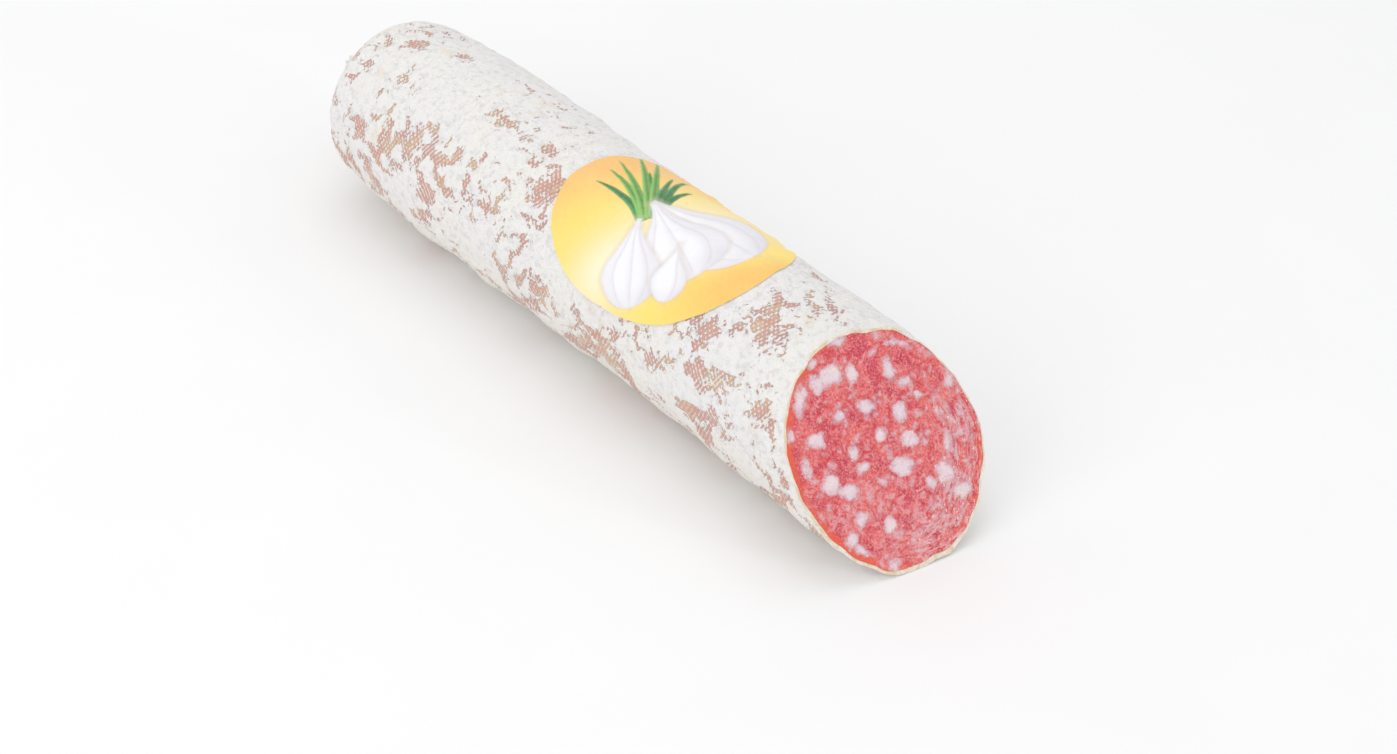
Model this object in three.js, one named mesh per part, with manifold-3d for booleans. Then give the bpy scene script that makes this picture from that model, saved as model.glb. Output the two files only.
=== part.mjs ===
// A cured sausage, cut across at one end and lying on its side.
//
// Millimetres, +Z up. The sausage lies along X with its cut face towards +X, and its gathered,
// clipped end towards -X. Lengths along the sausage are counted from the pole of its closed
// end (x = 0) and angles round it from the -Y side (0) over the top (90 degrees).
// The finished group is moved so that the origin is the middle of its footprint.

import * as THREE from 'three';
import { mergeVertices } from 'three/addons/utils/BufferGeometryUtils.js';
import Module from 'manifold-3d';

const wasm = await Module();
wasm.setup();

// ---- Driving dimensions ----------------------------------------------------------------------

const RADIUS = 26;                 // nominal radius of the sausage
const BODY_LENGTH = 214;           // pole of the closed end to the centre of the cut face
const SAG = 0.4;                   // how far the underside is pressed flat by lying on it
const DOME_DEPTH = 14.5;           // length over which the closed end rounds off
const CUT_TILT = 32;               // degrees that the cut face looks upwards
const CUT_YAW = -8.2;              // degrees that the cut face is turned towards -Y

const CASING_WALL = 0.6;           // textile casing with its white bloom
const GAP = 0.3;                   // clearance between neighbouring pieces

const NECK_RADIUS = 3.6;           // casing gathered under the clip
const NECK_LENGTH = 6;             // pole of the closed end to the start of the tail
const TAIL_RADIUS = 5.5;           // loose casing behind the clip
const TAIL_LENGTH = 6;

const CLIP_WIRE = 2.2;             // diameter of the aluminium clip's wire
const CLIP_OPENING = 36;           // degrees left open between the ends of the clip

const LABEL_LENGTH = 68;           // the oval label's long and short diameters, laid flat
const LABEL_WIDTH = 55;
const LABEL_FULLNESS = 2.1;        // 2 is a true ellipse; more fills out the oval's corners
const LABEL_THICKNESS = 0.3;
const LABEL_BEHIND_CUT = 77.3;     // centre of the label to the centre of the cut face
const LABEL_ANGLE = 78;            // place of the label's centre round the sausage
const LABEL_TURN = 12;             // turn of its long diameter out of the X direction

const ROUND_SEGMENTS = 40;
const DOME_STEPS = 7;
const BODY_STEP = 9;               // length of one straight facet along the body
const CLIP_STEPS = 24;
const LABEL_RINGS = 6;

const radians = THREE.MathUtils.degToRad;
const AXIS_HEIGHT = RADIUS - SAG;

// ---- Outer shape -----------------------------------------------------------------------------

// Soft unevenness of the stuffed casing: where along the body and round it, how high and how
// wide. A negative height is a hollow.
const SWELLS = [
  { x: 58, angle: 60, height: 1.3, length: 34, spread: 120 },
  { x: 142, angle: -20, height: -0.8, length: 42, spread: 60 },
  { x: 205, angle: 0, height: 0.7, length: 14, spread: 55 },
  { x: 214, angle: 90, height: -0.5, length: 30, spread: 60 },
  { x: 12, angle: 90, height: -1.1, length: 16, spread: 300 },
];

function swell(x, angle) {
  let height = 0;
  for (const bump of SWELLS) {
    const along = (x - bump.x) / bump.length;
    const turn = THREE.MathUtils.euclideanModulo(angle - bump.angle + 180, 360) - 180;
    const round = turn / bump.spread;
    height += bump.height * Math.exp(-along * along - round * round);
  }
  return height;
}

// Moves a point of the straight, round sausage to the real, uneven and flattened one.
// The unevenness fades towards the axis, so the neck and the tail stay nearly round.
function settle(point, inset) {
  const distance = Math.hypot(point.y, point.z);
  const angle = THREE.MathUtils.radToDeg(Math.atan2(point.z, -point.y));
  const share = distance / RADIUS;
  const grown = distance + swell(point.x, angle) * share;
  const scale = distance > 0 ? grown / distance : 1;
  point.y *= scale;
  point.z = Math.max(AXIS_HEIGHT + point.z * scale, inset);
}

// Outline of the closed end from the given distance from the axis to the full radius.
function domeOutline(inset, firstRadius) {
  const radius = RADIUS - inset;
  const depth = DOME_DEPTH - inset;
  const start = Math.asin(firstRadius / radius);
  const outline = [];
  for (let step = 0; step <= DOME_STEPS; step += 1) {
    const turn = THREE.MathUtils.lerp(start, Math.PI / 2, step / DOME_STEPS);
    outline.push(new THREE.Vector2(radius * Math.sin(turn), DOME_DEPTH - depth * Math.cos(turn)));
  }
  return outline;
}

// Outline of the body from the dome to past the cut face, in facets of equal length.
function bodyOutline(inset) {
  const end = BODY_LENGTH + RADIUS;
  const count = Math.round((end - DOME_DEPTH) / BODY_STEP);
  const outline = [];
  for (let step = 1; step <= count; step += 1) {
    const x = THREE.MathUtils.lerp(DOME_DEPTH, end, step / count);
    outline.push(new THREE.Vector2(RADIUS - inset, x));
  }
  outline.push(new THREE.Vector2(0, end));
  return outline;
}

// Outline of the gathered neck and the loose tail behind it.
function tailOutline() {
  const neckEnd = -NECK_LENGTH;
  const tailEnd = neckEnd - TAIL_LENGTH;
  return [
    new THREE.Vector2(0, tailEnd),
    new THREE.Vector2(0.8 * TAIL_RADIUS, tailEnd),
    new THREE.Vector2(TAIL_RADIUS, tailEnd + 0.2 * TAIL_LENGTH),
    new THREE.Vector2(0.8 * TAIL_RADIUS, tailEnd + 0.6 * TAIL_LENGTH),
    new THREE.Vector2(NECK_RADIUS, neckEnd),
    new THREE.Vector2(NECK_RADIUS, neckEnd + 0.6 * NECK_LENGTH),
    new THREE.Vector2(1.3 * NECK_RADIUS, neckEnd + 0.9 * NECK_LENGTH),
  ];
}

// ---- Solids ----------------------------------------------------------------------------------

function toSolid(geometry) {
  geometry.deleteAttribute('normal');
  geometry.deleteAttribute('uv');
  const merged = mergeVertices(geometry, 1e-4);
  const vertProperties = new Float32Array(merged.attributes.position.array);
  const triVerts = new Uint32Array(merged.index.array);
  return new wasm.Manifold(new wasm.Mesh({ numProp: 3, vertProperties, triVerts }));
}

function toGeometry(solid) {
  const { numProp, vertProperties, triVerts } = solid.getMesh();
  const positions = new Float32Array((vertProperties.length / numProp) * 3);
  for (let vertex = 0; vertex < positions.length / 3; vertex += 1) {
    for (let axis = 0; axis < 3; axis += 1) {
      positions[3 * vertex + axis] = vertProperties[numProp * vertex + axis];
    }
  }
  const geometry = new THREE.BufferGeometry();
  geometry.setAttribute('position', new THREE.BufferAttribute(positions, 3));
  geometry.setIndex(new THREE.BufferAttribute(new Uint32Array(triVerts), 1));
  geometry.computeVertexNormals();
  return geometry;
}

function moveVertices(geometry, move) {
  const positions = geometry.attributes.position;
  const point = new THREE.Vector3();
  for (let vertex = 0; vertex < positions.count; vertex += 1) {
    point.fromBufferAttribute(positions, vertex);
    move(point);
    positions.setXYZ(vertex, point.x, point.y, point.z);
  }
}

// Turns an outline of (distance from the axis, x) round the X axis and settles it.
function sausageSolid(outline, inset) {
  const geometry = new THREE.LatheGeometry(outline, ROUND_SEGMENTS);
  geometry.rotateZ(-Math.PI / 2);
  moveVertices(geometry, (point) => settle(point, inset));
  return toSolid(geometry);
}

// Everything beyond the cut face, as a block whose near side is the plane of the cut.
function beyondTheCut() {
  const size = 8 * RADIUS;
  const block = new THREE.BoxGeometry(size, size, size);
  block.translate(size / 2, 0, 0);
  block.rotateY(-radians(CUT_TILT));
  block.rotateZ(radians(CUT_YAW));
  block.translate(BODY_LENGTH, 0, AXIS_HEIGHT);
  return toSolid(block);
}

function casingGeometry(cutOff) {
  const bodyStart = domeOutline(0, 1.6 * NECK_RADIUS);
  const outside = sausageSolid([...tailOutline(), ...bodyStart, ...bodyOutline(0)], 0);
  const inside = sausageSolid(
    [...domeOutline(CASING_WALL, 0), ...bodyOutline(CASING_WALL)],
    CASING_WALL,
  );
  return toGeometry(outside.subtract(inside).subtract(cutOff));
}

function fillingGeometry(cutOff) {
  const inset = CASING_WALL + GAP;
  const whole = sausageSolid([...domeOutline(inset, 0), ...bodyOutline(inset)], inset);
  return toGeometry(whole.subtract(cutOff));
}

// The clip is one piece of soft wire bent round the neck, its ends nearly meeting below.
function clipGeometry() {
  const bend = NECK_RADIUS + GAP + CLIP_WIRE / 2;
  const halfOpening = radians(CLIP_OPENING) / 2;
  const below = -Math.PI / 2;
  const arc = new THREE.EllipseCurve(
    0, 0, bend, bend,
    below + halfOpening, below + 2 * Math.PI - halfOpening,
  );
  const points = arc.getPoints(CLIP_STEPS).map((point) => new THREE.Vector3(0, point.x, point.y));
  const wire = new THREE.Shape();
  wire.absarc(0, 0, CLIP_WIRE / 2, 0, 2 * Math.PI);
  const geometry = new THREE.ExtrudeGeometry(wire, {
    curveSegments: 5,
    steps: CLIP_STEPS,
    extrudePath: new THREE.CatmullRomCurve3(points),
  });
  geometry.translate(-0.7 * NECK_LENGTH, 0, AXIS_HEIGHT);
  return toGeometry(toSolid(geometry));
}

// The label is a flat oval disc, wrapped round the casing with a small clearance.
function labelGeometry() {
  const outline = [];
  for (let ring = 0; ring <= LABEL_RINGS; ring += 1) {
    outline.push(new THREE.Vector2(ring / LABEL_RINGS, 0));
  }
  for (let ring = LABEL_RINGS; ring >= 0; ring -= 1) {
    outline.push(new THREE.Vector2(ring / LABEL_RINGS, 1));
  }
  const geometry = new THREE.LatheGeometry(outline, ROUND_SEGMENTS);
  geometry.rotateX(Math.PI / 2);
  moveVertices(geometry, (point) => {
    const turn = Math.atan2(point.y, point.x);
    const across = Math.abs(Math.sin(turn)) ** LABEL_FULLNESS;
    const along = Math.abs(Math.cos(turn)) ** LABEL_FULLNESS;
    const grown = (along + across) ** (-1 / LABEL_FULLNESS);
    point.x *= grown;
    point.y *= grown;
  });
  geometry.scale(LABEL_LENGTH / 2, LABEL_WIDTH / 2, LABEL_THICKNESS);
  geometry.rotateZ(radians(LABEL_TURN));
  moveVertices(geometry, (point) => {
    const x = BODY_LENGTH - LABEL_BEHIND_CUT + point.x;
    const angle = LABEL_ANGLE + THREE.MathUtils.radToDeg(point.y / RADIUS);
    const distance = RADIUS + swell(x, angle) + GAP + point.z;
    point.x = x;
    point.y = -distance * Math.cos(radians(angle));
    point.z = AXIS_HEIGHT + distance * Math.sin(radians(angle));
  });
  return toGeometry(toSolid(geometry));
}

// ---- Assembly --------------------------------------------------------------------------------

function piece(name, geometry, color, roughness, metalness) {
  const material = new THREE.MeshStandardMaterial({ color, roughness, metalness });
  const mesh = new THREE.Mesh(geometry, material);
  mesh.name = name;
  return mesh;
}

const cutOff = beyondTheCut();
const sausage = new THREE.Group();
sausage.add(piece('casing', casingGeometry(cutOff), '#ece6e0', 0.95, 0));
sausage.add(piece('filling', fillingGeometry(cutOff), '#d9606a', 0.45, 0));
sausage.add(piece('label', labelGeometry(), '#f3d27a', 0.35, 0));
sausage.add(piece('clip', clipGeometry(), '#c9cbce', 0.3, 1));

const extent = new THREE.Box3().setFromObject(sausage);
const middle = extent.getCenter(new THREE.Vector3());
sausage.position.set(-middle.x, -middle.y, -extent.min.z);
sausage.updateMatrixWorld(true);

export default sausage;
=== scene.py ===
import math
import random

import bpy
import numpy as np
from mathutils import Matrix, Vector, noise


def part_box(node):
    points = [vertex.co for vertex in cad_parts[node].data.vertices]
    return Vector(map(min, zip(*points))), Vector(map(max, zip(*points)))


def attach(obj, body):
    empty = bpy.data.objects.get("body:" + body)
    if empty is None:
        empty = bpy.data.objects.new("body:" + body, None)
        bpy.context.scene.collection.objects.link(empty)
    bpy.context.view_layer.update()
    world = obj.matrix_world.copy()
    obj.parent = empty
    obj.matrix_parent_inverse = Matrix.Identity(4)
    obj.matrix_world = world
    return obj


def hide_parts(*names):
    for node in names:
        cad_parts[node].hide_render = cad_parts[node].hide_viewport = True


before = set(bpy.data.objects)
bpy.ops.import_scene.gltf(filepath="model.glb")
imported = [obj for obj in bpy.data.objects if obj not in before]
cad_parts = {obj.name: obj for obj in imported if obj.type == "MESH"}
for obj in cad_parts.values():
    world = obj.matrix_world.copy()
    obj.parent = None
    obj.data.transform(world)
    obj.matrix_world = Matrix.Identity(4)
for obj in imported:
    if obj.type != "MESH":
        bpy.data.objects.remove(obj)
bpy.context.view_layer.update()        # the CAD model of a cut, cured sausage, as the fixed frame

# Shapes are worked out in millimetres in the sausage's own space: x from the pole of the closed
# end towards the cut, y and z from the axis, and the angle round the axis from the -Y side (0)
# over the top. place() moves them into the frame.

MM = 0.001
RADIUS = 26.0  # the body's nominal radius
BODY_LENGTH = 214.0  # pole of the closed end to the centre of the cut
SAG = 0.4  # how far the underside is pressed flat
SOFT_CONTACT = 0.3  # how gradually the underside meets the floor
DOME_DEPTH = 14.5  # length over which the closed end rounds off
CUT_TILT = math.radians(32.0)  # how far the cut looks upwards
CUT_YAW = math.radians(-8.2)  # how far it is turned towards -Y
WALL = 0.45  # mean thickness of the casing with its bloom
FILLING_GAP = 0.05
INNER_DEEPER = 0.8  # the casing's inner surface lies deeper away from the cut,
FILLING_DEEPER = 1.4  # and so does the filling's hidden surface
NECK_RADIUS = 3.6
NECK_LENGTH = 6.0
TAIL_LENGTH = 6.0
CLIP_WIRE = 2.2
CLIP_OPENING = math.radians(36.0)
LABEL_LENGTH = 68.0
LABEL_WIDTH = 55.0
LABEL_FULLNESS = 2.1  # 2 is a true ellipse
LABEL_THICKNESS = 0.16
LABEL_BEHIND_CUT = 77.3  # centre of the label to the centre of the cut
LABEL_ANGLE = math.radians(78.0)  # place of the label's centre round the sausage
LABEL_TURN = math.radians(12.0)  # turn of its long diameter out of the X direction

SEED = 7
random.seed(SEED)

AXIS_HEIGHT = RADIUS - SAG
POLE_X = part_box("casing")[0].x + (NECK_LENGTH + TAIL_LENGTH) * MM
AXIS_Y = (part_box("clip")[0].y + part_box("clip")[1].y) / 2
BOTTOM = -math.pi / 2

CUT_NORMAL = np.array([
    math.cos(CUT_TILT) * math.cos(CUT_YAW),
    math.cos(CUT_TILT) * math.sin(CUT_YAW),
    math.sin(CUT_TILT),
])
FACE_RIGHT = np.array([-math.sin(CUT_YAW), math.cos(CUT_YAW), 0.0])
FACE_UP = np.cross(CUT_NORMAL, FACE_RIGHT)


def place(points):
    """Points of the sausage's own space, in millimetres, as points of the frame in metres."""
    return np.asarray(points) * MM + np.array([POLE_X, AXIS_Y, AXIS_HEIGHT * MM])


# ---- Camera, light and floor -----------------------------------------

CUT_CENTRE = place([BODY_LENGTH, 0.0, 0.0])
CAMERA_FROM_CUT = Vector((0.3198, -0.3431, 0.3659))
CAMERA_HEADING = math.radians(138.59)
CAMERA_DOWN = math.radians(36.62)
CAMERA_ROLL = math.radians(2.665)
CAMERA_LENS = 64.2


def make_camera():
    forward = Vector((
        math.cos(CAMERA_HEADING) * math.cos(CAMERA_DOWN),
        math.sin(CAMERA_HEADING) * math.cos(CAMERA_DOWN),
        -math.sin(CAMERA_DOWN),
    ))
    level = Vector((math.sin(CAMERA_HEADING), -math.cos(CAMERA_HEADING), 0.0))
    above = level.cross(forward)
    right = math.cos(CAMERA_ROLL) * level + math.sin(CAMERA_ROLL) * above
    up = right.cross(forward)
    data = bpy.data.cameras.new("camera")
    data.sensor_width = 36.0
    data.lens = CAMERA_LENS
    data.clip_start = 0.01
    camera = bpy.data.objects.new("camera", data)
    turned = Matrix((right, up, -forward)).transposed().to_4x4()
    camera.matrix_world = Matrix.Translation(Vector(CUT_CENTRE) + CAMERA_FROM_CUT) @ turned
    bpy.context.scene.collection.objects.link(camera)
    bpy.context.scene.camera = camera


def make_area_light(towards, name, at, size, watts, colour):
    data = bpy.data.lights.new(name, "AREA")
    data.size = size
    data.energy = watts
    data.color = colour
    light = bpy.data.objects.new(name, data)
    light.location = at
    light.rotation_euler = (Vector(towards) - Vector(at)).to_track_quat("-Z", "Y").to_euler()
    bpy.context.scene.collection.objects.link(light)


# Name, place, size, watts and colour. These are aimed at the sausage's middle.
STUDIO_LIGHTS = (
    ("key_light", (-0.25, 0.1, 0.95), 0.7, 1.6, (1.0, 0.99, 0.98)),
    ("front_light", (0.1, -0.9, 0.5), 0.8, 2.5, (1.0, 0.985, 0.97)),
)
# A small lamp in whose reflection the wet cut face glints.
GLINT_LIGHT = ("glint_light", (0.87, 0.31, 0.33), 0.085, 0.62, (1.0, 1.0, 1.0))
STUDIO_MIDDLE = (0.0, 0.0, 0.02)
SKY_COLOUR = (0.985, 0.99, 1.0, 1.0)
SKY_STRENGTH = 0.83


def make_lights():
    for light in STUDIO_LIGHTS:
        make_area_light(STUDIO_MIDDLE, *light)
    make_area_light(CUT_CENTRE, *GLINT_LIGHT)
    world = bpy.data.worlds.new("studio")
    world.use_nodes = True
    background = world.node_tree.nodes["Background"]
    background.inputs["Color"].default_value = SKY_COLOUR
    background.inputs["Strength"].default_value = SKY_STRENGTH
    bpy.context.scene.world = world
    bpy.context.scene.view_settings.view_transform = "Standard"


# ---- Material helpers ------------------------------------------------


def paint(red, green, blue):
    """A screen colour from 0 to 255 as the linear colour that the shaders use."""
    linear = []
    for value in (red, green, blue):
        share = value / 255
        linear.append(share / 12.92 if share <= 0.04045 else ((share + 0.055) / 1.055) ** 2.4)
    return (*linear, 1.0)


class Nodes:
    """Builds one material's node tree. An input is a socket to link or a constant."""

    def __init__(self, name):
        self.material = bpy.data.materials.new(name)
        self.material.use_nodes = True
        self.tree = self.material.node_tree
        self.shader = self.tree.nodes["Principled BSDF"]

    def add(self, kind, inputs, output=0, **settings):
        made = self.tree.nodes.new(kind)
        for name, value in settings.items():
            setattr(made, name, value)
        for key, value in inputs.items():
            self.feed(made.inputs[key], value)
        return made.outputs[output]

    def feed(self, socket, value):
        if isinstance(value, bpy.types.NodeSocket):
            self.tree.links.new(value, socket)
        else:
            socket.default_value = value

    def maths(self, operation, first, second=0.0):
        return self.add("ShaderNodeMath", {0: first, 1: second}, operation=operation)

    def total(self, *terms):
        """The sum of (value, weight) pairs."""
        result = 0.0
        for value, weight in terms:
            made = self.tree.nodes.new("ShaderNodeMath")
            made.operation = "MULTIPLY_ADD"
            self.feed(made.inputs[0], value)
            made.inputs[1].default_value = weight
            self.feed(made.inputs[2], result)
            result = made.outputs[0]
        return result

    def step(self, value, low, high):
        """0 below low, 1 above high and a smooth rise between them."""
        inputs = {"Value": value, "From Min": low, "From Max": high}
        return self.add("ShaderNodeMapRange", inputs, interpolation_type="SMOOTHSTEP")

    def mix(self, share, first, second):
        inputs = {0: share, 6: first, 7: second}
        return self.add("ShaderNodeMix", inputs, output=2, data_type="RGBA")

    def layers(self, colour, *coats):
        """Lays coats of (colour, share, weight) over a colour, one after another."""
        for over, share, weight in coats:
            colour = self.mix(self.maths("MULTIPLY", share, weight), colour, over)
        return colour

    def millimetres(self):
        """The place on the piece, in millimetres."""
        place_on = self.add("ShaderNodeTexCoord", {}, output="Object")
        return self.add(
            "ShaderNodeVectorMath", {0: place_on, "Scale": 1000.0}, operation="SCALE",
        )

    def attribute(self, name, output="Fac"):
        return self.add("ShaderNodeAttribute", {}, output=output, attribute_name=name)

    def noise(self, where, size, detail=2.0, roughness=0.5, distortion=0.0):
        """Noise from 0 to 1 whose largest features are about size millimetres."""
        inputs = {
            "Vector": where, "Scale": 1.0 / size, "Detail": detail,
            "Roughness": roughness, "Distortion": distortion,
        }
        return self.add("ShaderNodeTexNoise", inputs)

    def bump(self, height):
        """Turns a height in millimetres into the shader's normal."""
        inputs = {"Height": height, "Strength": 1.0, "Distance": MM}
        self.feed(self.shader.inputs["Normal"], self.add("ShaderNodeBump", inputs))

    def surface(self, **inputs):
        for name, value in inputs.items():
            self.feed(self.shader.inputs[name.replace("_", " ")], value)
        return self.material


# ---- Materials -------------------------------------------------------

THREAD_PITCH = 1.15
THREAD_ANGLES = (math.radians(133.0), math.radians(62.0))


def woven_threads(made, where):
    """1 where the weave stands out of the bare casing: dots at its crossings, lines in places."""
    place_on = made.millimetres()
    wobble = made.noise(place_on, 5.0, detail=3.0)
    balance = made.noise(place_on, 6.0, detail=2.0)
    worn_off = made.noise(place_on, 1.3, detail=2.0)
    waves = []
    lines = []
    for angle, favour in zip(THREAD_ANGLES, (1.0, -1.0)):
        across = (-math.sin(angle) / THREAD_PITCH, math.cos(angle) / THREAD_PITCH, 0.0)
        count = made.add(
            "ShaderNodeVectorMath", {0: where, 1: across}, output="Value",
            operation="DOT_PRODUCT",
        )
        wave = made.maths("COSINE", made.total((count, 2 * math.pi), (wobble, 9.0)))
        shown = made.step(made.total((balance, favour), (1.0, 0.5 - favour / 2)), 0.56, 0.66)
        waves.append(wave)
        lines.append(made.maths("MULTIPLY", made.step(wave, 0.0, 0.8), shown))
    crossing = made.total((waves[0], 0.5), (waves[1], 0.5), (worn_off, 2.2), (1.0, -1.1))
    dots = made.step(crossing, 0.25, 0.62)
    return made.maths("MAXIMUM", dots, made.maths("MAXIMUM", *lines))


BLOOM_COOL = paint(241, 239, 238)
BLOOM_WARM = paint(243, 240, 234)
# Painted shade: the bloom darkened in the low places of the crust's relief.
BLOOM_HOLLOW_SHADE = paint(226, 224, 224)
BLOOM_POWDER = paint(232, 230, 228)
# Painted light: warm bounce light from below, laid on the underside.
BLOOM_BOUNCE_LIGHT = paint(241, 234, 222)
BLOOM_YELLOWED = paint(234, 220, 192)
BLOOM_SPECK = paint(186, 180, 190)
BARE_PINK = paint(217, 172, 158)
BARE_TAN = paint(224, 194, 160)
BARE_MAUVE = paint(208, 170, 166)
BARE_CORE = paint(210, 156, 142)
BARE_DARK = paint(190, 138, 126)
# Painted shadow: the raised bloom's shadow along the edges of the bare patches.
BARE_CRUST_SHADOW = paint(176, 138, 134)
THREAD_PALE = paint(242, 232, 226)
CUT_PALE = paint(243, 236, 224)
CUT_TAN = paint(236, 214, 182)


def casing_material():
    made = Nodes("casing_bloom")
    where = made.millimetres()
    wrap = made.add("ShaderNodeUVMap", {}, uv_map="wrap")
    threads = woven_threads(made, wrap)
    ragged = made.noise(where, 2.9, detail=4.0, roughness=0.6, distortion=0.9)
    crust = made.noise(where, 1.9, detail=5.0, roughness=0.6)
    fine = made.noise(where, 0.8, detail=3.0, roughness=0.6)
    broad = made.noise(where, 24.0, detail=3.0)
    powder = made.noise(where, 0.45, detail=4.0, roughness=0.7)
    hue = made.noise(where, 8.0, detail=3.0)

    # The bloom is worn away where this field is above zero.
    wear = made.attribute("wear")
    field = made.total((wear, 1.0), (ragged, 2.2), (fine, 0.4), (threads, -0.24), (1.0, -1.22))
    worn = made.step(field, -0.03, 0.06)
    core = made.step(field, 0.1, 0.6)
    # Painted shadow: a band along the patch edges where the bloom's crust casts shade.
    crust_shadow = made.maths("MULTIPLY", made.step(field, -0.08, 0.03), made.step(field, 0.2, 0.06))

    yellowed = made.step(made.noise(where, 7.0, detail=4.0), 0.62, 0.72)
    spots = made.add(
        "ShaderNodeTexVoronoi", {"Vector": where, "Scale": 0.38, "Randomness": 1.0},
        output="Distance",
    )
    speck = made.maths("MULTIPLY", made.step(spots, 0.16, 0.06), made.step(fine, 0.45, 0.6))
    bloom = made.layers(
        made.mix(made.step(broad, 0.35, 0.7), BLOOM_COOL, BLOOM_WARM),
        # painted shade in the crust's hollows
        (BLOOM_HOLLOW_SHADE, made.step(crust, 0.5, 0.34), 1.0),
        (BLOOM_POWDER, made.step(powder, 0.45, 0.25), 1.0),
        # painted warm bounce light on the underside
        (BLOOM_BOUNCE_LIGHT, made.attribute("underside"), 0.6),
        (BLOOM_YELLOWED, yellowed, 0.4),
        (BLOOM_SPECK, speck, 0.5),
    )
    bare = made.layers(
        made.mix(made.step(hue, 0.5, 0.62), BARE_PINK, BARE_TAN),
        (BARE_MAUVE, made.step(hue, 0.42, 0.34), 1.0),
        (BARE_CORE, core, 0.7),
        (BARE_DARK, made.step(fine, 0.52, 0.8), 1.0),
        # painted shadow of the crust along the patch edges
        (BARE_CRUST_SHADOW, crust_shadow, 0.5),
        (THREAD_PALE, threads, made.total((core, -0.25), (1.0, 0.8))),
    )
    cut = made.mix(made.step(ragged, 0.4, 0.6), CUT_PALE, CUT_TAN)
    colour = made.mix(made.attribute("cut_edge"), made.mix(worn, bloom, bare), cut)
    weave = made.maths("MULTIPLY", threads, worn)
    made.bump(made.total(
        (powder, 0.18), (fine, 0.26), (crust, 0.95), (ragged, 0.7), (weave, 0.14), (worn, -0.2),
    ))
    return made.surface(
        Base_Color=colour,
        Roughness=made.total((worn, -0.25), (1.0, 0.92)),
        Sheen_Weight=0.1,
        Specular_IOR_Level=0.25,
    )


MEAT_PINK = paint(228, 100, 102)
MEAT_CRIMSON = paint(200, 34, 72)
MEAT_PALE = paint(236, 140, 138)
MEAT_DARK = paint(194, 24, 56)
MEAT_SMEARED = paint(230, 170, 174)
MEAT_DRIED = paint(236, 92, 62)
MEAT_BY_FAT = paint(236, 84, 66)
GRAIN_PALE = paint(246, 168, 162)
GRAIN_DARK = paint(202, 40, 66)
FIBRE_PALE = paint(244, 166, 158)
FIBRE_DARK = paint(204, 48, 68)
STREAK_PALE = paint(236, 188, 192)
STREAK_DARK = paint(190, 22, 58)
FAT_EDGE_WARM = paint(226, 180, 184)
FAT_EDGE_COOL = paint(220, 178, 190)
FAT_CORE_WARM = paint(234, 214, 216)
FAT_CORE_COOL = paint(228, 208, 218)
FAT_WHITE = paint(247, 235, 234)
FAT_STAINED = paint(218, 160, 170)
# Partly painted highlight: white flecks that stand for wet glints as well as bits of fat.
FLECK_AND_GLINT_WHITE = paint(250, 238, 238)


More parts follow.
